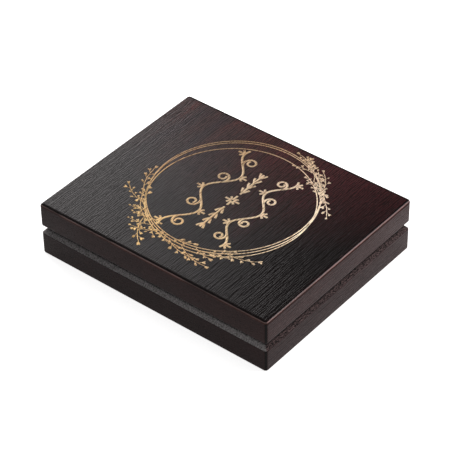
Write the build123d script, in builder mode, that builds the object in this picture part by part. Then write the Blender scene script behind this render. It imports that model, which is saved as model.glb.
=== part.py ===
from build123d import *

import os
from math import radians, tan

# Gift box for a gold bar in its assay card. Two blocks of solid wood, each with a milled
# pocket, meet at a V-groove. Two small brass hinges join them at the back, and magnets in
# the front rims hold the lid shut. The tray holds a flocked insert with a card-shaped recess.
#
# Millimetres. X runs left to right as the lid is read, Y from front to back, Z up.
# The origin is the middle of the underside.

# Wooden blocks
box_width = 105.0
box_depth = 129.0
tray_height = 13.7  # underside to the parting plane
lid_height = 14.3  # parting plane to the top
corner_radius = 1.6  # upright corners
top_edge_radius = 1.3
foot_bevel = 0.7
groove_depth = 2.5  # how far each bevel of the V-groove runs in from the side
groove_half_height = 2.4  # how far each bevel runs up or down the side

# Milled pockets
wall = 9.5
tray_floor = 4.0
lid_skin = 5.0
pocket_corner_radius = 5.0  # left by the milling cutter

# Lining
lining_clearance = 0.3  # lining to the pocket's wall
bed_thickness = 2.0
insert_below_rim = 0.7  # top of the insert to the parting plane
card_width = 54.0  # the assay card, upright in the box
card_length = 85.6
card_clearance = 0.7
card_corner_radius = 3.2
finger_notch_radius = 9.0
lid_board_thickness = 1.2
cushion_thickness = 3.5
cushion_bevel = 1.6

# Magnets, one pair at each front corner
magnet_radius = 2.5
magnet_thickness = 2.0
magnet_clearance = 0.05
magnet_recess = 0.2  # magnet face below the rim
magnet_from_side = 14.0  # magnet centre to the side of the box

# Hinges
hinge_from_side = 21.5  # middle of the hinge to the side of the box
hinge_length = 20.0
hinge_axis_inset = 1.5  # hinge axis to the back of the box
knuckle_count = 3
knuckle_gap = 0.1
knuckle_radius = 1.4
pin_radius = 0.6
pin_clearance = 0.05
leaf_thickness = 0.8
leaf_reach = 6.0  # hinge axis to the leaf's far edge
leaf_corner_radius = 1.0
leaf_gap = 0.05  # leaf face to the parting plane
mortise_clearance = 0.1
relief_clearance = 0.25  # knuckle to the wood around it
knuckle_sweep_clearance = 0.15  # knuckle to the other leaf's plate

# Hinge screws, two in each leaf
screw_spacing = 12.0
screw_from_axis = 3.8
screw_head_radius = 1.3
screw_radius = 0.7
screw_length = 6.0
screw_head_angle = 90.0  # the cone under the head
screw_clearance = 0.05

# Places that follow from the sizes above
parting = tray_height
pocket_width = box_width - 2 * wall
pocket_depth = box_depth - 2 * wall
insert_thickness = tray_height - tray_floor - bed_thickness - insert_below_rim
lining_width = pocket_width - 2 * lining_clearance
lining_depth = pocket_depth - 2 * lining_clearance
lining_corner_radius = pocket_corner_radius - lining_clearance
window_width = card_width + 2 * card_clearance
window_length = card_length + 2 * card_clearance
magnet_x = box_width / 2 - magnet_from_side
magnet_y = -(box_depth / 2 - (groove_depth + wall) / 2)
hinge_x = box_width / 2 - hinge_from_side
hinge_y = box_depth / 2 - hinge_axis_inset
relief_radius = knuckle_radius + relief_clearance
leaf_setback = knuckle_radius + knuckle_sweep_clearance
mortise_depth = leaf_gap + leaf_thickness
ceiling = parting + lid_height - lid_skin

# Each block is drawn on its own rim: x and y lie in the rim, and z leaves the wood.
tray_rim = Plane(origin=(0, 0, parting), x_dir=(1, 0, 0), z_dir=(0, 0, 1))
lid_rim = Plane(origin=(0, 0, parting), x_dir=(-1, 0, 0), z_dir=(0, 0, -1))

sides = {"left": -1, "right": 1}


def on_rim(rim, x, y, z=0.0):
    """A plane parallel to the rim, at a place given in the box's own X and Y."""
    return Plane(
        origin=(x, y, parting + rim.z_dir.Z * z), x_dir=rim.x_dir, z_dir=rim.z_dir
    )


def screw_places():
    """The two screws of a leaf, in the leaf's own x and y."""
    return [(side * screw_spacing / 2, -screw_from_axis) for side in sides.values()]


def milled_block(rim, height, skin, ease_edges, easing):
    """A block of wood with a bevelled rim, a pocket, and seats for hinges and magnets."""
    outer = rim.offset(-height)
    out_of_wood = Axis(rim.origin, rim.z_dir)
    hinge_seats = [on_rim(rim, side * hinge_x, hinge_y) for side in sides.values()]
    magnet_seats = [on_rim(rim, side * magnet_x, magnet_y) for side in sides.values()]
    seat_length = hinge_length + 2 * mortise_clearance
    seat_reach = leaf_reach + mortise_clearance
    with BuildPart() as block:
        with BuildSketch(outer):
            Rectangle(box_width, box_depth)
        extrude(amount=height)
        rim_face = block.faces().sort_by(out_of_wood)[-1]
        chamfer(rim_face.edges(), groove_depth, groove_half_height, reference=rim_face)
        with BuildSketch(outer):
            RectangleRounded(box_width, box_depth, corner_radius)
        extrude(amount=height, mode=Mode.INTERSECT)
        outer_face = block.faces().sort_by(out_of_wood)[0]
        ease_edges(outer_face.edges(), easing)

        with BuildSketch(rim):
            RectangleRounded(pocket_width, pocket_depth, pocket_corner_radius)
        extrude(amount=skin - height, mode=Mode.SUBTRACT)

        # The leaf's mortise runs out through the back, so its outer corners never show.
        with BuildSketch(*hinge_seats):
            with Locations((0, (hinge_axis_inset - seat_reach) / 2)):
                RectangleRounded(
                    seat_length,
                    hinge_axis_inset + seat_reach,
                    leaf_corner_radius + mortise_clearance,
                )
        extrude(amount=-mortise_depth, mode=Mode.SUBTRACT)
        # A round hollow lets the knuckles turn.
        with Locations(*hinge_seats):
            Cylinder(relief_radius, seat_length, rotation=(0, 90, 0), mode=Mode.SUBTRACT)
        with Locations(*[seat.offset(-mortise_depth) for seat in hinge_seats]):
            with Locations(*screw_places()):
                Hole(screw_radius + screw_clearance, screw_length - leaf_thickness + screw_clearance)
        with Locations(*magnet_seats):
            Hole(magnet_radius + magnet_clearance, magnet_recess + magnet_thickness)
    return block


def hinge_leaf(seat, first_knuckle):
    """One leaf, with every second knuckle counted from the left of the box."""
    pitch = hinge_length / knuckle_count
    knuckle_length = pitch - knuckle_gap
    with BuildPart() as leaf:
        with BuildSketch(seat.offset(-mortise_depth)) as plate:
            with Locations((0, -(leaf_reach + leaf_setback) / 2)):
                Rectangle(hinge_length, leaf_reach - leaf_setback)
            fillet(plate.vertices().group_by(Axis.Y)[0], leaf_corner_radius)
        extrude(amount=leaf_thickness)
        for number in range(first_knuckle, knuckle_count, 2):
            from_middle = ((number + 0.5) * pitch - hinge_length / 2) * seat.x_dir.X
            across_pin = Plane(
                origin=seat.from_local_coords((from_middle - knuckle_length / 2, 0, 0)),
                x_dir=seat.y_dir,
                z_dir=seat.x_dir,
            )
            with BuildSketch(across_pin):
                Circle(knuckle_radius)
                with Locations((-leaf_setback / 2, -(leaf_gap + leaf_thickness / 2))):
                    Rectangle(leaf_setback, leaf_thickness)
            extrude(amount=knuckle_length)
        with Locations(seat):
            Cylinder(
                pin_radius + pin_clearance,
                hinge_length,
                rotation=(0, 90, 0),
                mode=Mode.SUBTRACT,
            )
        with Locations(seat.offset(-leaf_gap)):
            with Locations(*screw_places()):
                CounterSinkHole(
                    screw_radius + screw_clearance,
                    screw_head_radius + screw_clearance,
                    counter_sink_angle=screw_head_angle,
                )
    return leaf


def hinge_pin(seat):
    """The pin, as long as the hinge."""
    with BuildPart() as pin:
        with Locations(seat):
            Cylinder(pin_radius, hinge_length, rotation=(0, 90, 0))
    return pin


def leaf_screws(seat):
    """Two countersunk screws, their heads flush with the leaf."""
    face = seat.offset(-leaf_gap)
    head_depth = (screw_head_radius - screw_radius) / tan(radians(screw_head_angle / 2))
    with BuildPart() as screws:
        for x, y in screw_places():
            along_screw = Plane(
                origin=face.from_local_coords((x, y, 0)),
                x_dir=face.x_dir,
                z_dir=-face.y_dir,
            )
            with BuildSketch(along_screw):
                with BuildLine():
                    Polyline(
                        (0, 0),
                        (screw_head_radius, 0),
                        (screw_radius, -head_depth),
                        (screw_radius, -screw_length),
                        (0, -screw_length),
                        close=True,
                    )
                make_face()
            revolve(axis=Axis(along_screw.origin, face.z_dir))
    return screws


def magnet(rim, x):
    """A round plated magnet, sunk a little below the rim."""
    with BuildPart() as disc:
        with BuildSketch(on_rim(rim, x, magnet_y, -magnet_recess)):
            Circle(magnet_radius)
        extrude(amount=-magnet_thickness)
    return disc


def lining_outline():
    """The outline of everything that lies in a pocket."""
    RectangleRounded(lining_width, lining_depth, lining_corner_radius)


with BuildPart() as bed_pad:
    with BuildSketch(Plane.XY.offset(tray_floor)):
        lining_outline()
    extrude(amount=bed_thickness)

with BuildPart() as insert_frame:
    with BuildSketch(Plane.XY.offset(tray_floor + bed_thickness)):
        lining_outline()
        RectangleRounded(window_width, window_length, card_corner_radius, mode=Mode.SUBTRACT)
        with Locations((-window_width / 2, 0), (window_width / 2, 0)):
            Circle(finger_notch_radius, mode=Mode.SUBTRACT)
    extrude(amount=insert_thickness)

with BuildPart() as lid_board:
    with BuildSketch(Plane.XY.offset(ceiling)):
        lining_outline()
    extrude(amount=-lid_board_thickness)

with BuildPart() as lid_cushion:
    with BuildSketch(Plane.XY.offset(ceiling - lid_board_thickness)):
        lining_outline()
    extrude(amount=-cushion_thickness)
    chamfer(lid_cushion.faces().sort_by(Axis.Z)[0].edges(), cushion_bevel)

pieces = {
    "tray_block": milled_block(tray_rim, tray_height, tray_floor, chamfer, foot_bevel),
    "lid_block": milled_block(lid_rim, lid_height, lid_skin, fillet, top_edge_radius),
    "bed_pad": bed_pad,
    "insert_frame": insert_frame,
    "lid_board": lid_board,
    "lid_cushion": lid_cushion,
}
for name, side in sides.items():
    tray_seat = on_rim(tray_rim, side * hinge_x, hinge_y)
    lid_seat = on_rim(lid_rim, side * hinge_x, hinge_y)
    pieces[f"tray_magnet_{name}"] = magnet(tray_rim, side * magnet_x)
    pieces[f"lid_magnet_{name}"] = magnet(lid_rim, side * magnet_x)
    pieces[f"hinge_{name}_tray_leaf"] = hinge_leaf(tray_seat, 0)
    pieces[f"hinge_{name}_lid_leaf"] = hinge_leaf(lid_seat, 1)
    pieces[f"hinge_{name}_pin"] = hinge_pin(tray_seat)
    pieces[f"hinge_{name}_tray_screws"] = leaf_screws(tray_seat)
    pieces[f"hinge_{name}_lid_screws"] = leaf_screws(lid_seat)

os.makedirs("parts", exist_ok=True)
for name, piece in pieces.items():
    piece.part.label = name
    export_step(piece.part, f"parts/{name}.step")
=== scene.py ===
from contextlib import contextmanager
from math import atan, cos, pi, radians, sin, tau

import bmesh
import bpy
from mathutils import Matrix, Vector


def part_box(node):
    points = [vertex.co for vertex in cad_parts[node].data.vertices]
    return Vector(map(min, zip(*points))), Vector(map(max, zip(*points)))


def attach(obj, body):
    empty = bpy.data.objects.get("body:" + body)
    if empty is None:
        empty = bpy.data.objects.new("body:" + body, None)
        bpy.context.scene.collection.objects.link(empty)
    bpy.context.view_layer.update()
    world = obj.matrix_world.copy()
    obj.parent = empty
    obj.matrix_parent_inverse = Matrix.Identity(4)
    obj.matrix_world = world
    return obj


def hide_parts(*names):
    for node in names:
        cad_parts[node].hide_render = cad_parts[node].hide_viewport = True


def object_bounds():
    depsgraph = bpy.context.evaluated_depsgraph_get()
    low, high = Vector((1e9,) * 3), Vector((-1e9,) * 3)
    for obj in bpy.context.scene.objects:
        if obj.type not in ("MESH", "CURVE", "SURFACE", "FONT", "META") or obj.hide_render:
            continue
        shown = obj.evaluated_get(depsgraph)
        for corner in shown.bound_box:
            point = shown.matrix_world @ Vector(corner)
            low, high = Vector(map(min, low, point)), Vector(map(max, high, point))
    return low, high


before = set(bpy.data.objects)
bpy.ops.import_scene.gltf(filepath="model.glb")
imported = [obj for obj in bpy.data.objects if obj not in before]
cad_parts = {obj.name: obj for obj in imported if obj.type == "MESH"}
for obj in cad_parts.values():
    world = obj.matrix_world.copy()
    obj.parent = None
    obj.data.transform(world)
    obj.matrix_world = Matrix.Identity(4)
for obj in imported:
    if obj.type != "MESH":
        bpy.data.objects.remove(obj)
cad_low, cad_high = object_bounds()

mm = 0.001

# The studio. A long lens looks down on the box from its front left corner, as in a
# catalogue picture. The box stands on a white table between large soft lights.
# Table, lights and camera aren't part of the box.
camera_azimuth = radians(50.51)  # from the front, towards the left
camera_elevation = radians(39.51)
camera_roll = radians(-0.90)
camera_distance = 0.9645
camera_target = Vector((1.53, 1.50, 12.6)) * mm
picture_pixels = 450
focal_length_pixels = 2136.0
ambient = 0.12
table_half = 3.0
scene = bpy.context.scene


def unit_towards(azimuth, elevation):
    """The direction from the box to a place, turned from the front towards the left."""
    return Vector(
        (-sin(azimuth) * cos(elevation), -cos(azimuth) * cos(elevation), sin(elevation))
    )


def look_from(place, target, roll=0.0):
    """A matrix for a camera or a light that stands at a place and looks at a target."""
    back = (place - target).normalized()
    right = Vector((0, 0, 1)).cross(back).normalized()
    up = back.cross(right)
    turned_right = right * cos(roll) + up * sin(roll)
    turned_up = up * cos(roll) - right * sin(roll)
    turn = Matrix((turned_right, turned_up, back)).transposed().to_4x4()
    return Matrix.Translation(place) @ turn


def link(name, data):
    """A new object at the origin that shows a mesh, a curve, a lamp or a camera."""
    piece = bpy.data.objects.new(name, data)
    scene.collection.objects.link(piece)
    return piece


def soft_light(name, azimuth, elevation, distance, size, power):
    """A soft box that faces the lid."""
    lamp = bpy.data.lights.new(name, "AREA")
    lamp.shape = "RECTANGLE"
    lamp.size, lamp.size_y = size
    lamp.energy = power
    lamp.color = (1.0, 0.96, 0.96)
    top = Vector((0, 0, cad_high.z))
    light = link(name, lamp)
    light.matrix_world = look_from(top + distance * unit_towards(azimuth, elevation), top)
    light.visible_camera = False


def plug(tree, port, value):
    """Give an input a value, or the socket that feeds it."""
    if isinstance(value, bpy.types.NodeSocket):
        tree.links.new(value, port)
    else:
        port.default_value = value


def feed(tree, node, *values, **named):
    """Give a node its inputs, in their order or by their names."""
    for number, value in enumerate(values):
        plug(tree, node.inputs[number], value)
    for name, value in named.items():
        plug(tree, node.inputs[name.replace("_", " ")], value)


def add(tree, kind, *values, **named):
    """A node. Names with a capital are its inputs, and small names are its settings."""
    node = tree.nodes.new(kind)
    for name in [name for name in named if name.islower()]:
        setattr(node, name, named.pop(name))
    feed(tree, node, *values, **named)
    return node


def shade(tree, kind, *values, **named):
    """The first output of a new shader node."""
    return add(tree, "ShaderNode" + kind, *values, **named).outputs[0]


def new_material(name):
    """A material, its node tree and its shader."""
    material = bpy.data.materials.new(name)
    material.use_nodes = True
    return material, material.node_tree, material.node_tree.nodes["Principled BSDF"]


def by_ray(tree, unseen, seen):
    """One value for what the camera sees, and another for the light thrown on the box."""
    is_camera_ray = add(tree, "ShaderNodeLightPath").outputs["Is Camera Ray"]
    return shade(tree, "MapRange", Value=is_camera_ray, To_Min=unseen, To_Max=seen)


camera_data = bpy.data.cameras.new("camera")
camera_data.sensor_width = 36
camera_data.lens = focal_length_pixels / picture_pixels * camera_data.sensor_width
camera = link("camera", camera_data)
camera_place = camera_target + camera_distance * unit_towards(camera_azimuth, camera_elevation)
camera.matrix_world = look_from(camera_place, camera_target, camera_roll)
scene.camera = camera
scene.view_settings.view_transform = "Standard"

soft_light("sheen_light", radians(205), radians(29.5), 0.38, (0.25, 0.25), 1.45)
soft_light("front_light", radians(-43), radians(30), 0.9, (0.5, 0.4), 4.6)
soft_light("overhead_light", radians(-40), radians(84), 1.0, (0.5, 0.5), 1.9)

world = bpy.data.worlds.new("studio")
world.use_nodes = True
tree = world.node_tree
feed(tree, tree.nodes["Background"], (1, 1, 1, 1), by_ray(tree, ambient, 1.0))
scene.world = world

corners = [(x * table_half, y * table_half, 0) for x, y in ((-1, -1), (1, -1), (1, 1), (-1, 1))]
table_mesh = bpy.data.meshes.new("table")
table_mesh.from_pydata(corners, [], [(0, 1, 2, 3)])
table_white, tree, shader = new_material("table_white")
feed(
    tree,
    shader,
    Base_Color=(0.7, 0.7, 0.7, 1),
    Roughness=0.9,
    Specular_IOR_Level=0.1,
    Emission_Color=(1, 1, 1, 1),
    Emission_Strength=by_ray(tree, 0.6, 0.85),
)
table_mesh.materials.append(table_white)
link("table", table_mesh)

# The two wooden blocks. Each is milled from one board: a pocket inside, a bevel all round
# the rim, so that the closed pair shows a V-groove, and seats for the hinges and magnets.
# The board's grain runs from left to right, so the left and right sides are end grain.
tray_low, tray_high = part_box("tray_block")
lid_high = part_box("lid_block")[1]
parting = tray_high.z
half_width = tray_high.x
half_depth = tray_high.y
groove_depth = 2.5 * mm
groove_half_height = 2.4 * mm
corner_radius = 1.6 * mm
least_corner_radius = 0.12 * mm  # where the bevel has cut the round corner away
corner_steps = 10
top_edge_radius = 1.3 * mm
foot_edge_radius = 0.7 * mm
tray_groove_edge_radius = 0.4 * mm
lid_groove_edge_radius = 0.9 * mm
rim_edge_radius = 0.2 * mm
pocket_edge_radius = 0.35 * mm
pocket_corner_radius = 5.0 * mm
wall = 9.5 * mm
tray_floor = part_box("bed_pad")[0].z
lid_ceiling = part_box("lid_board")[1].z
gilding_relief = 0.04 * mm  # the lid's face lies this far below the gilding on it
mortise_depth = 0.85 * mm
mortise_clearance = 0.1 * mm
relief_radius = 1.65 * mm
magnet_clearance = 0.05 * mm
hollow_sides = 32
magnet_hole_sides = 40
same_place = 1e-7  # points nearer than this are one, in metres
sliver = 2e-7  # edges shorter than this are dropped
wood_edge_angle = radians(30)  # faces that meet at more than this keep a sharp edge


def arc(centre, radius, start, end, steps=corner_steps):
    """Points along an arc, as (x, y)."""
    angles = [start + (end - start) * step / steps for step in range(steps + 1)]
    return [(centre[0] + radius * cos(turn), centre[1] + radius * sin(turn)) for turn in angles]


def rounded_rectangle(reach, radius, steps=corner_steps):
    """An outline with round corners, anticlockwise, as (x, y)."""
    across, along = reach[0] - radius, reach[1] - radius
    corners = ((across, along), (-across, along), (-across, -along), (across, -along))
    points = []
    for quarter, corner in enumerate(corners):
        start = quarter * pi / 2
        points += arc(corner, radius, start, start + pi / 2, steps)
    return points


def eased(before, corner, after, radius, steps):
    """A profile corner rounded to a radius, as (offset, height) points."""
    inward = (Vector(before) - Vector(corner)).normalized()
    outward = (Vector(after) - Vector(corner)).normalized()
    half = inward.angle(outward) / 2
    to_centre = (inward + outward).normalized()
    centre = Vector(corner) + to_centre * radius / sin(half)
    start = Vector(corner) + inward * radius / (sin(half) / cos(half)) - centre
    end = Vector(corner) + outward * radius / (sin(half) / cos(half)) - centre
    turn = start.angle_signed(end)
    spins = [Matrix.Rotation(-turn * step / steps, 2) for step in range(steps + 1)]
    return [tuple(centre + spin @ start) for spin in spins]


def block_mesh(name, outer, skin, outer_radius, groove_edge_radius, towards_rim):
    """Rings round the block from the outer face, over the side and rim, into the pocket."""
    side_end = (0, parting - towards_rim * groove_half_height)
    slope_end = (groove_depth, parting)
    brink = (wall, parting)
    profile = (  # three points that make a corner, its radius, steps and finish
        ((wall, outer), (0, outer), side_end, outer_radius, 8, 0),
        ((0, outer), side_end, slope_end, groove_edge_radius, 5, 0),
        (side_end, slope_end, brink, rim_edge_radius, 2, 1),
        (slope_end, brink, (wall, skin), pocket_edge_radius, 3, 2),
    )
    bands = []  # offset, height, finish, share of the outer roundover, polish
    for number, (before, corner, after, radius, steps, finish) in enumerate(profile):
        for step, place in enumerate(eased(before, corner, after, radius, steps)):
            share = step / steps
            polished = 1.0 if number < 2 and 0.35 < share < 0.7 else 0.0
            bands.append((*place, finish, share if number == 0 else 1.0, polished))
    bands.append((wall, skin, 2, 1.0, 0.0))
    vertices = []
    for offset, height, *_ in bands:
        if offset > groove_depth + rim_edge_radius:
            radius = pocket_corner_radius + wall - offset
        else:
            radius = max(corner_radius - offset, least_corner_radius)
        ring = rounded_rectangle((half_width - offset, half_depth - offset), radius)
        vertices += [(x, y, height) for x, y in ring]
    count = 4 * (corner_steps + 1)
    faces = []
    finishes = []
    for number, (_, _, finish, _, _) in enumerate(bands[1:]):
        low, high = number * count, (number + 1) * count
        for step in range(count):
            after = (step + 1) % count
            faces.append((low + step, low + after, high + after, high + step))
            finishes.append(finish)
    faces += [tuple(range(count)), tuple(range(high, high + count))]
    finishes += [0, 2]
    mesh = bpy.data.meshes.new(name)
    mesh.from_pydata(vertices, [], faces)
    mesh.polygons.foreach_set("material_index", finishes)
    turn = [sin(pi * (step % (corner_steps + 1)) / corner_steps) ** 4 for step in range(count)]
    for label, values in (
        ("roundover", [band[3] for band in bands for _ in turn]),
        ("polish", [band[4] for band in bands for _ in turn]),
        ("upright_edge", [value * (band[2] < 2) for band in bands for value in turn]),
    ):
        mesh.attributes.new(label, "FLOAT", "POINT").data.foreach_set("value", values)
    return mesh


@contextmanager
def opened(mesh):
    """A mesh opened for work on its points and faces."""
    work = bmesh.new()
    work.from_mesh(mesh)
    yield work
    work.to_mesh(mesh)
    work.free()


def round_plug(work, radius, depth, sides, place):
    """A round plug to cut with."""
    bmesh.ops.create_cone(
        work,
        cap_ends=True,
        segments=sides,
        radius1=radius,
        radius2=radius,
        depth=depth,
        matrix=place,
    )


def seat_cutter():
    """What is cut from both rims: mortises, hollows for the knuckles, and magnet holes."""
    cut = bpy.data.meshes.new("seats")
    with opened(cut) as work:
        for side in ("left", "right"):
            pin_low, pin_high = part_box(f"hinge_{side}_pin")
            axis = (pin_low + pin_high) / 2
            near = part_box(f"hinge_{side}_lid_leaf")[0].y - mortise_clearance
            far = half_depth + mm
            across = pin_high.x - pin_low.x + 2 * mortise_clearance
            middle = Matrix.Translation((axis.x, (near + far) / 2, parting))
            size = Matrix.Diagonal((across, far - near, 2 * mortise_depth, 1))
            bmesh.ops.create_cube(work, size=1, matrix=middle @ size)
            hollow = Matrix.Translation(axis) @ Matrix.Rotation(pi / 2, 4, "Y")
            round_plug(work, relief_radius, across, hollow_sides, hollow)
            low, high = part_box(f"lid_magnet_{side}")
            hole = Matrix.Translation(((low.x + high.x) / 2, (low.y + high.y) / 2, parting))
            radius = (high.x - low.x) / 2 + magnet_clearance
            round_plug(work, radius, 2 * (high.z - parting), magnet_hole_sides, hole)
    cut.polygons.foreach_set("material_index", [1] * len(cut.polygons))
    return cut


def close_and_point_out(mesh):
    """Merge doubles and turn every face outwards."""
    with opened(mesh) as work:
        bmesh.ops.remove_doubles(work, verts=work.verts, dist=same_place)
        bmesh.ops.recalc_face_normals(work, faces=work.faces)


def baked(piece):
    """What a piece's modifiers make, as a plain mesh."""
    shown = piece.evaluated_get(bpy.context.evaluated_depsgraph_get())
    return bpy.data.meshes.new_from_object(shown)


def bake(piece):
    """Put what the modifiers make into the piece's own mesh and take them off."""
    mesh = baked(piece)
    piece.modifiers.clear()
    piece.data = mesh
    return mesh


def smooth_below(mesh, angle):
    """Drop slivers, then shade smooth, with sharp edges where faces meet at a wider angle."""
    with opened(mesh) as work:
        bmesh.ops.dissolve_degenerate(work, dist=sliver, edges=work.edges)
    mesh.shade_smooth()
    mesh.set_sharp_from_angle(angle=angle)


def start_group(name, kind, **inputs):
    """A group of nodes with named inputs, and its group input's sockets."""
    group = bpy.data.node_groups.new(name, kind)
    kinds = {float: "Float", int: "Int", type(None): "Geometry"}
    for label, value in inputs.items():
        socket = group.interface.new_socket(
            label.replace("_", " "), in_out="INPUT", socket_type="NodeSocket" + kinds[type(value)]
        )
        if value is not None:
            socket.default_value = value
    return group, group.nodes.new("NodeGroupInput").outputs


def end_group(group, **made):
    """Put what a group makes out under its names."""
    for name, value in made.items():
        kind = "NodeSocketGeometry" if value.type == "GEOMETRY" else "NodeSocketFloat"
        group.interface.new_socket(name.replace("_", " "), in_out="OUTPUT", socket_type=kind)
    add(group, "NodeGroupOutput", **made)
    return group


def math(tree, operation, first, second=0.0):
    """One step of arithmetic."""
    return shade(tree, "Math", first, second, operation=operation)


def plus(tree, first, *others):
    """Numbers added up."""
    for other in others:
        first = math(tree, "ADD", first, other)
    return first


def times(tree, first, *others):
    """Numbers multiplied together."""
    for other in others:
        first = math(tree, "MULTIPLY", first, other)
    return first


def spread(tree, value, low, high, to_low=0.0, to_high=1.0):
    """A value stretched from one range to another."""
    return shade(
        tree, "MapRange", Value=value, From_Min=low, From_Max=high, To_Min=to_low, To_Max=to_high
    )


def vector(tree, x=0.0, y=0.0, z=0.0):
    """A vector from three numbers."""
    return shade(tree, "CombineXYZ", x, y, z)


def xyz(tree, place):
    """The three numbers in a vector."""
    return add(tree, "ShaderNodeSeparateXYZ", place).outputs


def stretched(tree, place, factors):
    """A vector with each of its numbers multiplied by a factor of its own."""
    return shade(tree, "VectorMath", place, factors, operation="MULTIPLY")


def on_piece(tree):
    """Where a point lies on its piece, in metres."""
    return add(tree, "ShaderNodeTexCoord").outputs["Object"]


def noise(tree, place, scale, detail=2.0, rough=0.5, warp=0.0):
    """Smooth noise at a place."""
    return add(
        tree,
        "ShaderNodeTexNoise",
        Vector=place,
        Scale=scale,
        Detail=detail,
        Roughness=rough,
        Distortion=warp,
    ).outputs["Fac"]


def make_grain_group():
    """Long grain in the board: broad figure, fine streaks, open pores, and where ends show."""
    group, given = start_group(
        "board_grain", "ShaderNodeTree", Figure_Scale=0.07, Streak_Scale=2.1, Grain_Length=6.0
    )
    scale = given["Streak Scale"]
    shorten = math(group, "DIVIDE", 1.0, given["Grain Length"])
    in_mm = shade(group, "VectorMath", on_piece(group), Scale=1000.0, operation="SCALE")
    along_grain = stretched(group, in_mm, vector(group, shorten, 1.0, 1.0))
    shorter = stretched(group, along_grain, (3.0, 1.0, 1.0))
    lines = add(
        group,
        "ShaderNodeTexWave",
        Vector=stretched(group, in_mm, (0.0, 1.0, 1.0)),
        Scale=times(group, scale, 0.30),
        Phase_Offset=times(group, noise(group, along_grain, 0.5), 16.0),
        bands_direction="DIAGONAL",
    ).outputs["Fac"]
    lines = times(group, lines, 0.4)
    finest = noise(group, along_grain, scale, 1.0)
    coarser = noise(group, along_grain, times(group, scale, 0.85))
    pitted = noise(group, shorter, times(group, scale, 1.3), 1.0)
    facing = xyz(group, add(group, "ShaderNodeTexCoord").outputs["Normal"])
    return end_group(
        group,
        Figure=noise(group, along_grain, given["Figure Scale"], 3.0, warp=0.5),
        Streaks=plus(group, times(group, finest, 0.6), lines),
        Ridges=plus(group, times(group, coarser, 0.6), lines),
        Pores=spread(group, pitted, 0.55, 0.65),
        End_Grain=spread(group, math(group, "ABSOLUTE", facing["X"]), 0.3, 0.6),
        Upright=spread(group, math(group, "ABSOLUTE", facing["Z"]), 0.7, 0.3),
    )


grain_group = make_grain_group()


def grain_in(tree, **sizes):
    """The grain placed in a material, with its own sizes."""
    return add(tree, "ShaderNodeGroup", node_tree=grain_group, **sizes).outputs


def ramp(tree, factor, *stops):
    """A colour ramp fed by a factor. Each stop is a position and a colour or a grey."""
    node = add(tree, "ShaderNodeValToRGB", factor)
    elements = node.color_ramp.elements
    elements[0].position, elements[-1].position = stops[0][0], stops[-1][0]
    for position, _ in stops[1:-1]:
        elements.new(position)
    for element, (_, colour) in zip(elements, stops):
        red, green, blue = colour if isinstance(colour, tuple) else (colour,) * 3
        element.color = (red, green, blue, 1)
    return node.outputs["Color"]


def mixed(tree, factor, first, second, blend="MIX"):
    """Two colours mixed by a factor."""
    node = add(tree, "ShaderNodeMix", data_type="RGBA", blend_type=blend)
    ports = [port for port in node.inputs if port.enabled]
    for port, value in zip(ports, (factor, first, second)):
        plug(tree, port, value)
    return [made for made in node.outputs if made.enabled][0]


def tinted(tree, first, second):
    """Two colours multiplied together."""
    return mixed(tree, 1.0, first, second, "MULTIPLY")


def lighter(tree, first, second):
    """The lighter of two colours."""
    return mixed(tree, 1.0, first, second, "LIGHTEN")


def bump(tree, height, distance):
    """Relief for a shader's normal."""
    return shade(tree, "Bump", Height=height, Strength=1.0, Distance=distance)


def shadowed_groove(tree, colour, near, far, uneven=0.0):
    """Painted shade darkens a colour towards the bottom of the V-groove."""
    height = xyz(tree, on_piece(tree))["Z"]
    away = plus(tree, math(tree, "ABSOLUTE", math(tree, "SUBTRACT", height, parting)), uneven)
    return mixed(tree, spread(tree, away, near, far, 0.95, 0.0), colour, (0.002, 0.0015, 0.0015, 1))


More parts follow.
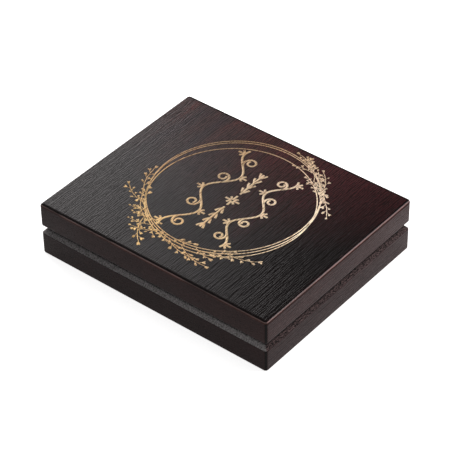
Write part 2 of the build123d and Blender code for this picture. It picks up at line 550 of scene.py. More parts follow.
def make_stained_wood():
    """Dark brown stain under satin lacquer with open pores, and painted light: shade on the edges
    and in the groove, a highlight along the roundover, tone by place and face.
    """
    wood, tree, shader = new_material("stained_wood")
    grain = grain_in(tree)
    end_grain, on_side = grain["End Grain"], grain["Upright"]
    at = xyz(tree, on_piece(tree))
    roundover, upright, polish = [
        add(tree, "ShaderNodeAttribute", attribute_name=name).outputs["Fac"]
        for name in ("roundover", "upright_edge", "polish")
    ]

    # Painted light and shade by place, set against where the sheen light falls: the stain is made
    # redder and lighter towards the front right and darker towards the back left, on top of the
    # board's own figure.
    to_right = spread(tree, at["X"], -half_width, half_width, -0.12, 0.12)
    to_front = spread(tree, at["Y"], half_depth, -half_depth, -0.24, 0.24)
    figure_and_painted_light = plus(tree, grain["Figure"], plus(tree, to_right, to_front))
    sides = spread(tree, end_grain, 0.0, 1.0, 0.44, 0.51)
    figure = ramp(
        tree,
        mixed(tree, times(tree, on_side, 0.9), figure_and_painted_light, sides),
        (0.32, (0.017, 0.0100, 0.0115)),
        (0.46, (0.023, 0.0115, 0.0115)),
        (0.58, (0.039, 0.0130, 0.0120)),
        (0.70, (0.058, 0.0150, 0.0170)),
    )
    streaks = ramp(tree, grain["Streaks"], (0.30, 0.3), (0.70, 1.8))
    calmer = plus(tree, times(tree, end_grain, 0.3), times(tree, on_side, 0.6))
    streaks = mixed(tree, calmer, streaks, (0.85, 0.85, 0.85, 1))
    # Painted shade and light: the tray is painted darker than the lid, for the shade near the
    # table, and the upright faces lighter than the top. The end-grain faces are darker.
    tone_with_painted_light = spread(tree, at["Z"], parting - mm, parting + mm, 0.68, 1.2)
    tone_with_painted_light = plus(tree, tone_with_painted_light, times(tree, on_side, 0.65))
    tone_with_painted_light = times(tree, tone_with_painted_light, spread(tree, end_grain, 0.0, 1.0, 1.0, 0.52))
    grained = tinted(tree, tinted(tree, figure, streaks), tone_with_painted_light)
    grained = mixed(tree, times(tree, grain["Pores"], 0.7), grained, (0.006, 0.004, 0.004, 1))

    # A painted shade line runs along the top edges, on the face at the ends of the board and under
    # the roundover at its sides.
    # The back edge has none, so that the sheen light's gleam shows there. The upright corners get a
    # painted shade line too.
    over = ramp(tree, roundover, (0.0, 0), (0.03, 1), (0.36, 1), (0.42, 0))
    brink = half_width - top_edge_radius
    from_middle = math(tree, "ABSOLUTE", at["X"])
    near_end = spread(tree, from_middle, brink - 0.5 * mm, brink - 0.2 * mm, 0.0, 0.9)
    over = lighter(tree, over, times(tree, near_end, math(tree, "LESS_THAN", roundover, 0.03)))
    brink = half_depth - top_edge_radius
    not_back = spread(tree, at["Y"], brink - 0.1 * mm, brink + 0.2 * mm, 1.0, 0.0)
    down = math(tree, "SUBTRACT", lid_high.z, at["Z"])
    below_edge = times(
        tree,
        spread(tree, down, 0.7 * mm, 0.95 * mm, 0.0, 0.75),
        spread(tree, down, 1.4 * mm, 1.8 * mm, 1.0, 0.0),
        spread(tree, end_grain, 1.0, 0.0),
    )
    over = lighter(tree, tinted(tree, over, not_back), below_edge)
    painted_edge_shade = lighter(tree, over, spread(tree, upright, 0.1, 0.6))
    base = mixed(tree, painted_edge_shade, grained, (0.003, 0.0015, 0.0015, 1))

    # A painted highlight makes a pale band on the lower half of the roundover, with a painted shade
    # line under it. Below that, handling has rubbed a red-brown line.
    worn = ramp(
        tree,
        roundover,
        (0.42, 0),
        (0.50, (0.19, 0.130, 0.120)),
        (0.66, (0.19, 0.130, 0.120)),
        (0.74, (0.012, 0.004, 0.003)),
        (0.88, (0.06, 0.020, 0.012)),
        (1.0, 0),
    )
    patchy = spread(tree, grain["Figure"], 0.35, 0.6, 0.35, 1.0)
    rough = plus(
        tree,
        spread(tree, grain["Streaks"], 0.35, 0.65, 0.41, 0.33),
        times(tree, grain["Pores"], 0.15),
        times(tree, over, 0.5),
        times(tree, end_grain, 0.12),
    )
    feed(
        tree,
        shader,
        Base_Color=shadowed_groove(tree, mixed(tree, patchy, base, worn, "ADD"), 0.0, 0.3 * mm),
        Roughness=rough,
        Specular_IOR_Level=0.10,
        Coat_Weight=spread(tree, polish, 0.2, 1.0, 0.0, 0.4),
        Coat_Roughness=0.3,
        Normal=bump(tree, grain["Ridges"], 0.15 * mm),
    )
    return wood


def make_milled_wood():
    """The bevel as the cutter left it: furry pale end grain, torn side grain, with painted shade
    towards the bottom of the groove and painted light on the fur towards the front.
    """
    wood, tree, shader = new_material("milled_wood")
    end_grain = grain_in(tree)["End Grain"]
    place = on_piece(tree)
    fibres = noise(tree, stretched(tree, place, (700.0, 1000.0, 700.0)), 2.2, 2.0, 0.6)
    chips = noise(tree, stretched(tree, place, (450.0, 1300.0, 1300.0)), 2.0, 2.0, 0.6)
    fur = ramp(tree, fibres, (0.34, (0.10, 0.094, 0.094)), (0.66, (0.36, 0.340, 0.340)))
    # Painted light: the fur is made paler towards the front corner.
    painted_light_to_front = spread(tree, xyz(tree, place)["Y"], half_depth, -half_depth, 0.8, 1.3)
    torn = ramp(tree, chips, (0.42, (0.004, 0.003, 0.003)), (0.60, (0.125, 0.084, 0.083)))
    cut = mixed(tree, end_grain, torn, tinted(tree, fur, painted_light_to_front))
    # The painted shade's edge is ragged, and narrower on the end grain.
    ragged = spread(tree, fibres, 0.3, 0.7, -0.15 * mm, 0.15 * mm)
    uneven = plus(tree, ragged, times(tree, end_grain, 0.25 * mm))
    feed(
        tree,
        shader,
        Base_Color=shadowed_groove(tree, cut, 0.45 * mm, 1.15 * mm, uneven),
        Roughness=0.85,
        Specular_IOR_Level=0.2,
        Normal=bump(tree, mixed(tree, end_grain, chips, fibres), 0.2 * mm),
    )
    return wood


stained_wood = make_stained_wood()
milled_wood = make_milled_wood()
seats = link("seats", seat_cutter())
lid_face = lid_high.z - gilding_relief
for name, body, *sizes in (
    ("tray_wood", "tray", tray_low.z, tray_floor, foot_edge_radius, tray_groove_edge_radius, 1),
    ("lid_wood", "lid", lid_face, lid_ceiling, top_edge_radius, lid_groove_edge_radius, -1),
):
    mesh = block_mesh(name, *sizes)
    close_and_point_out(mesh)
    for finish in (stained_wood, milled_wood, stained_wood):
        mesh.materials.append(finish)
    block = link(name, mesh)
    cut = block.modifiers.new("seats", "BOOLEAN")
    cut.object = seats
    cut.operation = "DIFFERENCE"
    cut.solver = "EXACT"
    cut.use_self = True
    smooth_below(bake(block), wood_edge_angle)
    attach(block, body)
    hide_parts("tray_block" if body == "tray" else "lid_block")
bpy.data.objects.remove(seats)

# The card's bed. A thin foam pad covers the floor of the tray, and a thicker foam frame
# lies on it, with a window for the card and two notches for the fingers. Both are cut
# from flocked foam, which feels like velour, and are glued in.
flock_ease = 0.6 * mm
notch_corner_radius = 1.2 * mm
bed_low, bed_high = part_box("bed_pad")
insert_low, insert_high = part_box("insert_frame")
window_half_width = 27.7 * mm
window_half_length = 43.5 * mm
window_corner_radius = 3.2 * mm
notch_radius = 9.0 * mm
lining_corner_radius = 4.7 * mm
flock_edge_angle = radians(40)


def window_loop():
    """The window with its two finger notches, clockwise."""
    reach = notch_radius + notch_corner_radius
    rise = (reach**2 - notch_corner_radius**2) ** 0.5
    lean = Vector((notch_corner_radius, rise)).angle(Vector((1, 0)))
    across = window_half_width - window_corner_radius
    along = window_half_length - window_corner_radius
    ease_centre = (window_half_width + notch_corner_radius, rise)
    right = arc((across, along), window_corner_radius, pi / 2, 0)
    right += arc(ease_centre, notch_corner_radius, pi, pi + lean, 5)
    right += arc((window_half_width, 0), notch_radius, lean, 0, 16)
    lower = [(x, -y) for x, y in reversed(right)]
    half = right + lower[1:]
    return half + [(-x, y) for x, y in reversed(half)]


def dress(mesh, finish):
    """Give a mesh one material and no other."""
    mesh.materials.clear()
    mesh.materials.append(finish)


def flocked_sheet(name, loops, low, high, ease):
    """A cut sheet of flocked foam with softened edges."""
    outline = bpy.data.curves.new(name, "CURVE")
    outline.dimensions = "2D"
    outline.fill_mode = "BOTH"
    outline.extrude = (high - low) / 2 - ease
    outline.bevel_depth = ease
    outline.bevel_resolution = 3
    outline.offset = -ease
    for loop in loops:
        spline = outline.splines.new("POLY")
        spline.points.add(len(loop) - 1)
        for point, (x, y) in zip(spline.points, loop):
            point.co = (x, y, 0, 1)
        spline.use_cyclic_u = True
    outlined = link(name + "_outline", outline)
    mesh = baked(outlined)
    bpy.data.objects.remove(outlined)
    mesh.transform(Matrix.Translation((0, 0, (low + high) / 2)))
    close_and_point_out(mesh)
    smooth_below(mesh, flock_edge_angle)
    return mesh


def make_velour():
    """Short upright pile, brushed a little this way and that."""
    velour, tree, shader = new_material("flocked_velour")
    place = on_piece(tree)
    pile = noise(tree, place, 5000.0)
    brushed = noise(tree, place, 90.0, 3.0, warp=0.4)
    cloudy = ramp(tree, brushed, (0.35, (0.020, 0.017, 0.017)), (0.65, (0.025, 0.021, 0.021)))
    feed(
        tree,
        shader,
        Base_Color=tinted(tree, cloudy, ramp(tree, pile, (0.35, 0.6), (0.65, 1.5))),
        Roughness=0.95,
        Specular_IOR_Level=0.1,
        Sheen_Weight=0.35,
        Sheen_Roughness=0.4,
        Normal=bump(tree, pile, 0.12 * mm),
    )
    return velour


velour = make_velour()
lining_loop = rounded_rectangle((bed_high.x, bed_high.y), lining_corner_radius)
insert_loops = [lining_loop, window_loop()]
for name, node, loops, low, high, ease in (
    ("flocked_bed", "bed_pad", [lining_loop], bed_low.z, bed_high.z, flock_ease / 2),
    ("flocked_insert", "insert_frame", insert_loops, insert_low.z, insert_high.z, flock_ease),
):
    mesh = flocked_sheet(name, loops, low, high, ease)
    dress(mesh, velour)
    sheet = link(name, mesh)
    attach(sheet, "tray")
    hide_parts(node)

# The board in the lid. Grey pulp board, cut to the pocket, carries the cushion and is
# glued to the lid's ceiling, so only its cut edge can be seen.


def make_greyboard():
    """Grey pulp with darker and lighter fibres."""
    board, tree, shader = new_material("greyboard")
    pulp = noise(tree, on_piece(tree), 1200.0, 4.0)
    colour = ramp(
        tree,
        pulp,
        (0.3, (0.16, 0.15, 0.135)),
        (0.5, (0.32, 0.30, 0.27)),
        (0.72, (0.48, 0.46, 0.42)),
    )
    feed(tree, shader, Base_Color=colour, Roughness=0.95, Normal=bump(tree, pulp, 0.08 * mm))
    return board


board_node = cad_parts["lid_board"]
board_node.material_slots[0].material = make_greyboard()

# The lid's cushion. Thin foam under the same velour, which is drawn over the edge and
# glued behind the board. The foam crowns in the middle and the velour gathers at the
# corners. It keeps the card from rattling.
cushion_low, cushion_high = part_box("lid_cushion")
simulation_scale = 10.0  # the pad is blown up this much while it swells
pad_inset = 1.0 * mm
pad_corner_steps = 6
pad_voxel = 1.3 * mm
most_swell = 1.0 * mm
swell_frames = 20
gather_depth = 0.22 * mm
gather_count = 9
gather_reach = 9.0 * mm


def slack_pad():
    """The foam's block before it swells, blown up for the simulation."""
    middle = (cushion_low + cushion_high) / 2
    inset = Vector((pad_inset, pad_inset, pad_inset / 2))
    low = cushion_low + inset
    high = cushion_high - inset
    radius = lining_corner_radius - pad_inset
    mesh = bpy.data.meshes.new("slack_pad")
    with opened(mesh) as work:
        loop = rounded_rectangle((high.x, high.y), radius, pad_corner_steps)
        floor = work.faces.new([work.verts.new((x, y, low.z)) for x, y in loop])
        raised = bmesh.ops.extrude_face_region(work, geom=[floor])["geom"]
        lifted = [part for part in raised if isinstance(part, bmesh.types.BMVert)]
        bmesh.ops.translate(work, verts=lifted, vec=(0, 0, high.z - low.z))
        bmesh.ops.recalc_face_normals(work, faces=work.faces)
    mesh.transform(Matrix.Scale(simulation_scale, 4) @ Matrix.Translation(-middle))
    return mesh, middle


def swell(pad):
    """Cloth under pressure, stepped until the pad stands plump."""
    remesh = pad.modifiers.new("even_cells", "REMESH")
    remesh.mode = "VOXEL"
    remesh.voxel_size = pad_voxel * simulation_scale
    rest = [vertex.co.copy() for vertex in bake(pad).vertices]
    cloth = pad.modifiers.new("swell", "CLOTH")
    cloth.settings.quality = 5
    cloth.settings.mass = 0.3
    cloth.settings.tension_stiffness = 15
    cloth.settings.compression_stiffness = 15
    cloth.settings.bending_stiffness = 0.5
    cloth.settings.use_pressure = True
    cloth.settings.uniform_pressure_force = 4
    cloth.settings.effector_weights.gravity = 0
    for number in range(1, swell_frames + 1):
        scene.frame_set(number)
    grown = bake(pad)
    scene.frame_set(1)
    return rest, [vertex.co.copy() for vertex in grown.vertices]


def dressed_cushion():
    """The swollen pad back at its size and place, flat on its board, gathered at corners."""
    mesh, middle = slack_pad()
    pad = link("lid_cushion_pad", mesh)
    rest, grown = swell(pad)
    mesh = pad.data
    cap = most_swell * simulation_scale
    corner_at = Vector((cushion_high.x, cushion_high.y)) - Vector((1, 1)) * lining_corner_radius
    for vertex, was, now in zip(mesh.vertices, rest, grown):
        step = now - was
        if step.length > cap:
            step = step.normalized() * cap
        place = (was + step) / simulation_scale + middle
        away = Vector((abs(place.x), abs(place.y))) - corner_at
        if min(away) > -gather_reach / 2:
            round_corner = away.angle(Vector((1, 0)), 0.0)
            closeness = max(0.0, 1 - abs(away.length - lining_corner_radius) / gather_reach)
            place.z += cos(round_corner * gather_count * 4) * gather_depth * closeness**2
        place.x = min(max(place.x, cushion_low.x), cushion_high.x)
        place.y = min(max(place.y, cushion_low.y), cushion_high.y)
        place.z = min(place.z, cushion_high.z)
        vertex.co = place
    mesh.update()
    finer = pad.modifiers.new("smooth", "SUBSURF")
    finer.levels = finer.render_levels = 1
    bake(pad).shade_smooth()
    return pad


cushion = dressed_cushion()
dress(cushion.data, velour)
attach(cushion, "lid")
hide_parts("lid_cushion")

# The hinges. Two small butt hinges, each with two leaves of brass sheet rolled round a
# brass wire pin. The leaves lie in shallow mortises and the knuckles in the V-groove.
edge_break = 0.1 * mm
leaf_edge_angle = radians(40)
same_brass_place = 1e-6  # points nearer than this are one, in metres
flat_angle = radians(1)  # facets that meet at less than this are one face


def make_wear_group():
    """Handling marks on metal: fine scratches along X, and cloudy blotches."""
    group, given = start_group(
        "metal_wear", "ShaderNodeTree", Scratch_Scale=3000.0, Blotch_Scale=300.0
    )
    place = on_piece(group)
    drawn = stretched(group, place, (0.04, 1.0, 1.0))
    return end_group(
        group,
        Scratches=noise(group, drawn, given["Scratch Scale"]),
        Blotches=noise(group, place, given["Blotch Scale"], 3.0),
    )


wear_group = make_wear_group()


def make_metal(name, dull, bright, smooth, rough, scratch_scale, blotch_scale, relief):
    """Worn metal: blotches change the colour, scratches the gloss and the relief."""
    metal, tree, shader = new_material(name)
    wear = add(
        tree,
        "ShaderNodeGroup",
        node_tree=wear_group,
        Scratch_Scale=scratch_scale,
        Blotch_Scale=blotch_scale,
    ).outputs
    feed(
        tree,
        shader,
        Base_Color=ramp(tree, wear["Blotches"], (0.35, dull), (0.6, bright)),
        Metallic=1.0,
        Roughness=spread(tree, wear["Scratches"], 0.3, 0.7, smooth, rough),
        Normal=bump(tree, wear["Scratches"], relief),
    )
    return metal


satin_brass = make_metal(
    "satin_brass", (0.50, 0.355, 0.155), (0.64, 0.47, 0.225), 0.28, 0.42, 3000, 150, 0.003 * mm
)


def eased_copy(node, name, finish):
    """A CAD node's shape with its sharp edges broken, as tumbled brass has them."""
    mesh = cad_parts[node].data.copy()
    mesh.name = name
    mesh.transform(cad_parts[node].matrix_world)
    with opened(mesh) as work:
        bmesh.ops.remove_doubles(work, verts=work.verts, dist=same_brass_place)
        bmesh.ops.dissolve_limit(
            work, angle_limit=flat_angle, verts=work.verts, edges=work.edges
        )
    dress(mesh, finish)
    piece = link(name, mesh)
    soften = piece.modifiers.new("edge_break", "BEVEL")
    soften.width = edge_break
    soften.segments = 2
    soften.limit_method = "ANGLE"
    soften.angle_limit = leaf_edge_angle
    smooth_below(bake(piece), leaf_edge_angle)
    return piece


for side in ("left", "right"):
    for part, body in (("tray_leaf", "tray"), ("lid_leaf", "lid"), ("pin", "tray")):
        node = f"hinge_{side}_{part}"
        piece = eased_copy(node, f"{side}_{part}_brass", satin_brass)
        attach(piece, body)
        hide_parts(node)

# The hinge screws. Eight slotted brass wood screws, two in each leaf, countersunk flush.
# Their slots point every way, because a hand-driven screw stops where it is tight.
slot_width = 0.45 * mm
slot_depth = 0.4 * mm
head_radius = 1.3 * mm
shank_radius = 0.7 * mm
screw_sides = 24
screw_seed = 4
turned_edge_angle = radians(30)
aged_brass = make_metal(
    "aged_brass", (0.24, 0.155, 0.06), (0.42, 0.29, 0.13), 0.35, 0.5, 4000, 900, 0.003 * mm
)


def shape(tree, kind, *values, **named):
    """The first output of a new geometry node."""
    return add(tree, "GeometryNode" + kind, *values, **named).outputs[0]


def moved(tree, geometry, **how):
    """Geometry moved, turned and scaled."""
    return shape(tree, "Transform", Geometry=geometry, **how)


def chance(tree, low, high, seed):
    """A random number for each point."""
    return add(
        tree, "FunctionNodeRandomValue", data_type="FLOAT", Min=low, Max=high, Seed=seed
    ).outputs["Value"]


def end_tree(tree, geometry, finish):
    """Realize the instances, give them their material, and put the result out."""
    real = shape(tree, "RealizeInstances", Geometry=geometry)
    return end_group(tree, Mesh=shape(tree, "SetMaterial", Geometry=real, Material=finish))


def from_tree(name, tree, mesh, **values):
    """A piece that a tree makes from a mesh, with some of the tree's inputs given."""
    piece = link(name, mesh)
    maker = piece.modifiers.new(tree.name, "NODES")
    maker.node_group = tree
    for item in tree.interface.items_tree:
        if item.name.replace(" ", "_") in values:
            maker[item.identifier] = values[item.name.replace(" ", "_")]
    bake(piece)
    return piece


def wire(name, points, edges=()):
    """A mesh of points and edges for a tree to start from."""
    mesh = bpy.data.meshes.new(name)
    mesh.from_pydata(points, edges, [])
    return mesh


def make_screw_tree():
    """A slotted countersunk screw at each vertex."""
    tree, given = start_group(
        "slotted_screws",
        "GeometryNodeTree",
        Places=None,
        Head_Radius=head_radius,
        Shank_Radius=shank_radius,
        Length=6.0 * mm,
        Slot_Width=slot_width,
        Slot_Depth=slot_depth,
        Face_Turn=0.0,
        Seed=screw_seed,
    )
    wide, narrow, long = given["Head Radius"], given["Shank Radius"], given["Length"]
    head_depth = math(tree, "SUBTRACT", wide, narrow)
    cone = shape(
        tree,
        "MeshCone",
        Vertices=screw_sides,
        Radius_Top=wide,
        Radius_Bottom=narrow,
        Depth=head_depth,
    )
    rod = shape(tree, "MeshCylinder", Vertices=screw_sides, Radius=narrow, Depth=long)
    # The shank starts a hair under the head's face, so that only the head shows.
    sink = math(tree, "SUBTRACT", times(tree, long, -0.5), given["Slot Depth"])
    whole = add(tree, "GeometryNodeMeshBoolean", operation="UNION", solver="EXACT")
    for part, height in ((cone, times(tree, head_depth, -1.0)), (rod, sink)):
        feed(tree, whole, Mesh_2=moved(tree, part, Translation=vector(tree, z=height)))
    slot = (times(tree, wide, 3.0), given["Slot Width"], times(tree, given["Slot Depth"], 2.0))
    slotted = shape(
        tree,
        "MeshBoolean",
        operation="DIFFERENCE",
        solver="EXACT",
        Mesh_1=whole.outputs["Mesh"],
        Mesh_2=shape(tree, "MeshCube", Size=vector(tree, *slot)),
    )
    turn = chance(tree, 0.0, pi, given["Seed"])
    driven = shape(
        tree,
        "InstanceOnPoints",
        Points=given["Places"],
        Instance=slotted,
        Rotation=vector(tree, x=given["Face Turn"], z=turn),
    )
    return end_tree(tree, driven, aged_brass)


screw_tree = make_screw_tree()
for body, turned_over in (("tray", 0.0), ("lid", pi)):
    places = []
    for side in ("left", "right"):
        low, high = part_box(f"hinge_{side}_{body}_screws")
        face = low.z if turned_over else high.z
        for x in (low.x + head_radius, high.x - head_radius):
            places.append((x, (low.y + high.y) / 2, face))
    name = f"{body}_screws"
    length = high.z - low.z - slot_depth
    mesh = wire(name, places)
    screws = from_tree(name, screw_tree, mesh, Length=length, Face_Turn=turned_over)
    smooth_below(screws.data, turned_edge_angle)
    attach(screws, body)
    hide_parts(f"hinge_left_{body}_screws", f"hinge_right_{body}_screws")

# The magnets. Four nickel-plated discs, pressed into blind holes in the front rims a little
# below the wood, so that the pairs pull the lid shut without touching.
disc_chamfer = 0.25 * mm
disc_sides = 48
plated_nickel = make_metal(
    "plated_nickel", (0.52, 0.51, 0.49), (0.66, 0.65, 0.63), 0.12, 0.3, 2500, 400, 0.004 * mm
)


def make_disc_tree():
    """A disc with broken edges at each vertex, its face at the vertex."""
    tree, given = start_group(
        "plated_discs",
        "GeometryNodeTree",
        Places=None,
        Radius=2.5 * mm,
        Thickness=2.0 * mm,
        Chamfer=disc_chamfer,
        Sink=-1.0,
    )
    radius, thickness = given["Radius"], given["Thickness"]
    disc = shape(
        tree, "MeshCylinder", Vertices=disc_sides, Side_Segments=4, Radius=radius, Depth=thickness
    )
    # The faces shrink, and the rings a quarter of the way in move out to the chamfers.
    place = shape(tree, "InputPosition")
    height = math(tree, "ABSOLUTE", xyz(tree, place)["Z"])
    share = math(tree, "DIVIDE", height, thickness)
    at_face = math(tree, "GREATER_THAN", share, 0.45)
    beyond_middle = math(tree, "GREATER_THAN", share, 0.2)
    near_face = times(tree, beyond_middle, math(tree, "LESS_THAN", share, 0.3))
    narrow = math(tree, "DIVIDE", math(tree, "SUBTRACT", radius, given["Chamfer"]), radius)
    chamfers = math(tree, "DIVIDE", times(tree, given["Chamfer"], 4.0), thickness)
    tall = math(tree, "SUBTRACT", 2.0, chamfers)
    for selection, factors in (
        (at_face, vector(tree, narrow, narrow, 1.0)),
        (near_face, vector(tree, 1.0, 1.0, tall)),
    ):
        target = stretched(tree, place, factors)
        disc = shape(tree, "SetPosition", Geometry=disc, Selection=selection, Position=target)
    sink = times(tree, thickness, 0.5, given["Sink"])
    sunk = moved(tree, disc, Translation=vector(tree, z=sink))
    pressed = shape(tree, "InstanceOnPoints", Points=given["Places"], Instance=sunk)
    return end_tree(tree, pressed, plated_nickel)


disc_tree = make_disc_tree()
for body, sink in (("tray", -1.0), ("lid", 1.0)):
    places = []
    for side in ("left", "right"):
        low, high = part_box(f"{body}_magnet_{side}")
        face = high.z if body == "tray" else low.z
        places.append(((low.x + high.x) / 2, (low.y + high.y) / 2, face))
    name = f"{body}_magnets"
    radius, thickness = (high.x - low.x) / 2, high.z - low.z
    mesh = wire(name, places)
    magnets = from_tree(name, disc_tree, mesh, Radius=radius, Thickness=thickness, Sink=sink)
    smooth_below(magnets.data, turned_edge_angle)
    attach(magnets, body)
    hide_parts(f"{body}_magnet_left", f"{body}_magnet_right")

# The gilding on the lid. A ring of thin gold lines that wander over one another, drifts of
# budding sprigs that grow along it, and vine scrolls in the middle. It is pressed on as
# foil through a fine screen, so the grain of the wood still shows in it.
ring_centre = Vector((4.4, -0.54)) * mm
ring_radius = 39.0 * mm
ring_steps = 160
scroll_centre = Vector((2.6, -2.6)) * mm
line_width = 0.50 * mm
scroll_width = 1.1 * mm
stem_width = 0.32 * mm
stalk_width = 0.26 * mm
foil_bottom = lid_high.z - gilding_relief
petals = (  # how far ahead and aside, how long and wide, and how far it leans
    (0.3, 0.0, 0.66, 0.58, 0.0),
    (0.75, 0.42, 0.66, 0.42, 0.55),
    (0.75, -0.42, 0.66, 0.42, -0.55),
)
sprig_kinds = (  # length, bend, number of stalks, their reach, size of a bud
    (13 * mm, 2.0 * mm, 6, 1.6 * mm, 0.92 * mm),
    (10 * mm, 1.3 * mm, 5, 1.4 * mm, 0.98 * mm),
    (8 * mm, 0.8 * mm, 4, 1.4 * mm, 1.02 * mm),
    (15 * mm, 2.6 * mm, 7, 1.9 * mm, 0.90 * mm),
)
drifts = (  # start, sweep, number, way round, least and most lean, seed
    (radians(122), radians(14), 3, -1, (-0.15, 0.0), 23),
    (radians(134), radians(38), 6, -1, (0.35, 0.85), 29),
    (radians(146), radians(68), 8, 1, (0.1, 0.55), 37),
    (radians(122), radians(76), 4, 1, (-0.45, -0.1), 63),
    (radians(-48), radians(14), 4, -1, (-0.05, 0.2), 47),
    (radians(-50), radians(26), 6, 1, (0.0, 0.4), 59),
    (radians(-56), radians(30), 3, 1, (-0.5, -0.15), 71),
)
ring_lines = (  # stand-off, and how far the line sways to the right, to the back and to both
    (0.35, 1.85, 0.65, 0.6),
    (0.55, 0.5, -0.2, 0.55),
    (-0.5, -2.55, -1.35, 0.25),
)


def make_foil():
    """Gold foil, broken up by the grain under it, with painted reflection and shade: amber at the
    back left, pale at the front right, lighter at the front left and duller at the back right.
    """
    foil, tree, shader = new_material("gold_foil")
    streaks = grain_in(tree, Streak_Scale=1.7, Grain_Length=7.0)["Streaks"]
    at = xyz(tree, on_piece(tree))
    # Painted reflection and shade across the lid, by place.
    forward = math(tree, "SUBTRACT", at["X"], at["Y"])
    painted_reflection_tint = ramp(
        tree,
        spread(tree, forward, -60 * mm, 50 * mm),
        (0.0, (0.55, 0.36, 0.13)),
        (0.25, (0.47, 0.30, 0.125)),
        (0.55, (0.51, 0.38, 0.22)),
        (1.0, (0.94, 0.76, 0.56)),
    )
    backward = spread(tree, plus(tree, at["X"], at["Y"]), -50 * mm, 55 * mm)
    painted_light_falloff = ramp(tree, backward, (0.0, 1.45), (0.5, 1), (1.0, (0.62, 0.50, 0.34)))
    worn = ramp(tree, streaks, (0.28, (0.45, 0.38, 0.30)), (0.42, 1))
    feed(
        tree,
        shader,
        Base_Color=tinted(tree, tinted(tree, painted_reflection_tint, painted_light_falloff), worn),
        Metallic=0.35,
        Roughness=spread(tree, streaks, 0.35, 0.65, 0.55, 0.35),
        Normal=bump(tree, streaks, 0.03 * mm),
    )
    return foil


def stroke(tree, curve, width, relief, sides=6):
    """A line of foil along a curve, raised by the relief and tapered by the curve's radius."""
    flat = shape(tree, "SetCurveNormal", Curve=curve, mode="Z_UP")
    ring = shape(tree, "CurvePrimitiveCircle", Resolution=sides, Radius=1.0)
    section = moved(tree, ring, Scale=vector(tree, times(tree, width, 0.5), relief, 1.0))
    return shape(tree, "CurveToMesh", Curve=flat, Profile_Curve=section, Fill_Caps=True)


def joined(tree, *parts):
    """Several geometries in one."""
    node = tree.nodes.new("GeometryNodeJoinGeometry")
    for part in parts:
        feed(tree, node, Geometry=part)
    return node.outputs["Geometry"]


def heading(tree, tangent):
    """The angle of a tangent in the plane of the lid."""
    parts = xyz(tree, tangent)
    return math(tree, "ARCTAN2", parts["Y"], parts["X"])


def planted(tree, points, shapes, turn, size):
    """One of the shapes at each point, turned and scaled in the plane of the lid."""
    kinds = [shape(tree, "GeometryToInstance", Geometry=kind) for kind in shapes]
    return shape(
        tree,
        "InstanceOnPoints",
        Points=points,
        Instance=joined(tree, *kinds),
        Pick_Instance=True,
        Rotation=vector(tree, z=turn),
        Scale=vector(tree, size, size, 1.0),
    )


def arch(tree, length, rise, steps):
    """A curve from the origin along X that rises sideways in its middle."""
    return shape(
        tree,
        "CurveQuadraticBezier",
        Resolution=steps,
        Start=(0, 0, 0),
        Middle=vector(tree, times(tree, length, 0.5), rise),
        End=vector(tree, length),
    )


def make_stalk_tree():
    """A short stalk with a bud: a round base and two petals, spread or closed."""
    tree, given = start_group(
        "budding_stalk",
        "GeometryNodeTree",
        Reach=1.5 * mm,
        Bud_Size=mm,
        Width=stalk_width,
        Open=1.0,
        Relief=mm,
    )
    reach, size, relief = given["Reach"], given["Bud Size"], given["Relief"]
    line = arch(tree, reach, times(tree, reach, 0.18), 3)
    parts = [stroke(tree, line, given["Width"], relief, 4)]
    petal = shape(tree, "MeshCone", Vertices=8, Radius_Top=0.55, Radius_Bottom=1.0, Depth=1.0)
    for ahead, aside, long, wide, lean in petals:
        sizes = vector(tree, times(tree, size, long), times(tree, size, wide), relief)
        place = vector(
            tree,
            plus(tree, reach, times(tree, size, ahead)),
            times(tree, size, aside, given["Open"]),
        )
        turn = vector(tree, z=times(tree, given["Open"], lean))
        shaped = moved(tree, petal, Scale=sizes)
        parts.append(moved(tree, shaped, Translation=place, Rotation=turn))
    return end_group(tree, Mesh=joined(tree, *parts))


def make_sprig_tree():
    """A curved stem with budding stalks to both sides and one at its tip."""
    tree, given = start_group(
        "sprig",
        "GeometryNodeTree",
        Length=13 * mm,
        Bend=2 * mm,
        Stalks=6,
        Reach=1.5 * mm,
        Bud_Size=mm,
        Stem_Width=stem_width,
        Relief=mm,
        Seed=1,
    )
    stem = arch(tree, given["Length"], given["Bend"], 10)
    upper = shape(tree, "TrimCurve", mode="FACTOR", Curve=stem, Start=0.25, End=1.0)
    spots = add(
        tree, "GeometryNodeCurveToPoints", mode="COUNT", Curve=upper, Count=given["Stalks"]
    ).outputs
    number = shape(tree, "InputIndex")
    parity = math(tree, "SUBTRACT", math(tree, "MODULO", number, 2.0), 0.5)
    not_tip = math(tree, "LESS_THAN", number, math(tree, "SUBTRACT", given["Stalks"], 1.5))
    lean = times(tree, parity, chance(tree, 0.9, 1.7, given["Seed"]), not_tip)
    turn = plus(tree, heading(tree, spots["Tangent"]), lean)
    stalks = [
        shape(
            tree,
            "Group",
            node_tree=stalk_tree,
            Reach=given["Reach"],
            Bud_Size=given["Bud Size"],
            Relief=given["Relief"],
            Open=opening,
        )
        for opening in (1.0, 0.25, 0.6)
    ]
    size = chance(tree, 0.7, 1.2, plus(tree, given["Seed"], 1.0))
    leaves = planted(tree, spots["Points"], stalks, turn, size)
    line = stroke(tree, stem, given["Stem Width"], given["Relief"])
    return end_group(tree, Mesh=joined(tree, line, leaves))


def pushed_out(tree, geometry, distance):
    """Points moved away from the middle of the ring."""
    place = shape(tree, "InputPosition")
    outwards = shade(tree, "VectorMath", place, operation="NORMALIZE")
    shift = shade(tree, "VectorMath", outwards, Scale=distance, operation="SCALE")
    return shape(tree, "SetPosition", Geometry=geometry, Offset=shift)


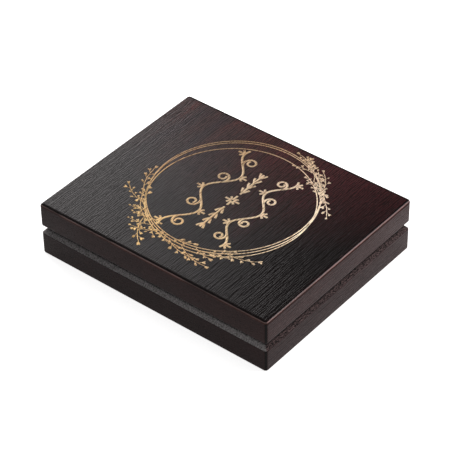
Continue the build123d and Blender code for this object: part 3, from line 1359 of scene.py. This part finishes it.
def drift(tree, given, start, sweep, count, way, lean, seed):
    """Sprigs that grow one way round part of the ring and lean out of it."""
    sprigs = [
        shape(
            tree,
            "Group",
            node_tree=sprig_tree,
            Length=length,
            Bend=-way * bend,
            Stalks=stalks,
            Reach=reach,
            Bud_Size=size,
            Relief=given["Relief"],
            Seed=seed + 7 * number,
        )
        for number, (length, bend, stalks, reach, size) in enumerate(sprig_kinds)
    ]
    path = shape(
        tree,
        "CurveArc",
        mode="RADIUS",
        Resolution=64,
        Radius=given["Ring Radius"],
        Start_Angle=start,
        Sweep_Angle=sweep,
    )
    spots = add(tree, "GeometryNodeCurveToPoints", mode="COUNT", Curve=path, Count=count).outputs
    stray = chance(tree, -0.9 * mm, 1.3 * mm, seed + 3)
    roots = pushed_out(tree, spots["Points"], stray)
    ahead = plus(tree, heading(tree, spots["Tangent"]), 0.0 if way > 0 else pi)
    turn = plus(tree, ahead, times(tree, chance(tree, *lean, seed + 1), -way))
    return planted(tree, roots, sprigs, turn, chance(tree, 0.75, 1.15, seed + 2))


def make_gilding_tree():
    """The ring, its drifts of sprigs, and strokes along the edges of the given mesh."""
    tree, given = start_group(
        "gilding",
        "GeometryNodeTree",
        Places=None,
        Ring_Radius=ring_radius,
        Line_Width=line_width,
        Scroll_Width=scroll_width,
        Relief=gilding_relief,
        Sway=mm,
    )
    relief = given["Relief"]
    parts = []
    circle = shape(
        tree,
        "CurvePrimitiveCircle",
        mode="RADIUS",
        Resolution=ring_steps,
        Radius=given["Ring Radius"],
    )
    angle = heading(tree, shape(tree, "InputPosition"))
    across, along = math(tree, "COSINE", angle), math(tree, "SINE", angle)
    diagonal = math(tree, "COSINE", times(tree, angle, 2.0))
    for stand_off, to_right, to_back, to_both in ring_lines:
        wave = plus(
            tree,
            times(tree, across, to_right),
            times(tree, along, to_back),
            times(tree, diagonal, to_both),
            stand_off,
        )
        line = pushed_out(tree, circle, times(tree, wave, given["Sway"]))
        parts.append(stroke(tree, line, given["Line Width"], relief))
    parts += [drift(tree, given, *numbers) for numbers in drifts]
    wreath = moved(tree, joined(tree, *parts), Translation=(*ring_centre, foil_bottom))
    scroll = shape(tree, "MeshToCurve", Mesh=given["Places"])
    in_middle = stroke(tree, scroll, given["Scroll Width"], relief)
    return end_tree(tree, joined(tree, wreath, in_middle), gold_foil)


def curl(start, direction, length, first_bend, last_bend, steps=24):
    """A line whose bend grows evenly along it, as a pen draws a tendril."""
    x, y = start
    points = [(x, y)]
    for step in range(steps):
        bend = first_bend + (last_bend - first_bend) * (step + 0.5) / steps
        direction += bend * length / steps
        x += cos(direction) * length / steps
        y += sin(direction) * length / steps
        points.append((x, y))
    return points


def leaf(start, direction, length, bend=0.0):
    """A stroke that swells in its middle."""
    points = curl(start, direction, length, bend, bend, 8)
    return points, [0.1 + 0.65 * sin(pi * step / 8) for step in range(9)]


def bud(start, direction, length):
    """A thin stalk that ends in a drop."""
    return curl(start, direction, length, 0, 0, 8), [0.3] * 5 + [0.45, 0.8, 0.85, 0.3]


def tendril(points):
    """A stroke that thins towards its end and stops in a knob."""
    last = len(points) - 1
    shares = [step / last for step in range(last + 1)]
    return points, [0.5 - 0.15 * share + (0.25 if share > 0.95 else 0.0) for share in shares]


def vine(level, way, length, wave, height, steps=72):
    """Half of a vine scroll: a waving stem, curled tendrils, and buds on its crests."""
    along = [length * step / steps for step in range(steps + 1)]
    strokes = [tendril([(x, level + way * height * cos(tau * x / wave)) for x in along])]
    slope = atan(height * tau / wave)
    for number in range(int(2 * length / wave + 0.25)):
        turn = way if number % 2 == 0 else -way
        root = ((number + 0.5) * wave / 2, level)
        points = curl(root, -turn * slope, 0.62 * wave, turn * 5.6 / wave, turn * 19 / wave)
        strokes.append(tendril(points))
    for number in range(int(2 * length / wave) + 1):
        turn = way if number % 2 == 0 else -way
        crest = (number * wave / 2, level + turn * height)
        strokes.append(bud(crest, turn * (pi / 2 - 0.8), 2.8))
        if number > 0:
            strokes.append(bud(crest, turn * pi / 2, 3.6))
            strokes.append(bud(crest, turn * (pi / 2 + 0.8), 2.8))
    return strokes


def branch(level, first, last, pairs):
    """Half of a straight branch with paired leaves."""
    strokes = [tendril([(first + (last - first) * step / 12, level) for step in range(13)])]
    for number in range(pairs):
        root = (first + (last - first) * (number + 0.3) / pairs, level)
        for side in (-1, 1):
            strokes.append(leaf(root, side * 0.75, 3.8, -side * 0.12))
    return strokes


def rosette(level, size):
    """Eight petals, every second one shorter."""
    spokes = [(eighth * pi / 4, size if eighth % 2 == 0 else 0.7 * size) for eighth in range(8)]
    return [leaf((0.5 * cos(turn), level + 0.5 * sin(turn)), turn, long) for turn, long in spokes]


halves = vine(12.5, 1, 33, 30, 4.6) + branch(0.5, 5.5, 23, 4) + vine(-12.0, -1, 28.5, 26, 3.8)
mirrored = [([(-x, y) for x, y in points], widths) for points, widths in halves]
middle = rosette(0.5, 3.4) + [bud((0, 17.1), pi / 2, 3.6), bud((0, -15.8), -pi / 2, 3.6)]
vertices = []
edges = []
taper = []
for points, widths in halves + mirrored + middle:
    first = len(vertices)
    for x, y in points:
        vertices.append((scroll_centre.x + x * mm, scroll_centre.y + y * mm, foil_bottom))
    edges += [(first + step, first + step + 1) for step in range(len(points) - 1)]
    taper += widths
gilding_mesh = wire("gilding", vertices, edges)
gilding_mesh.attributes.new("radius", "FLOAT", "POINT").data.foreach_set("value", taper)
gold_foil = make_foil()
stalk_tree = make_stalk_tree()
sprig_tree = make_sprig_tree()
gilding = from_tree("gilding", make_gilding_tree(), gilding_mesh)
gilding.data.shade_smooth()
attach(gilding, "lid")
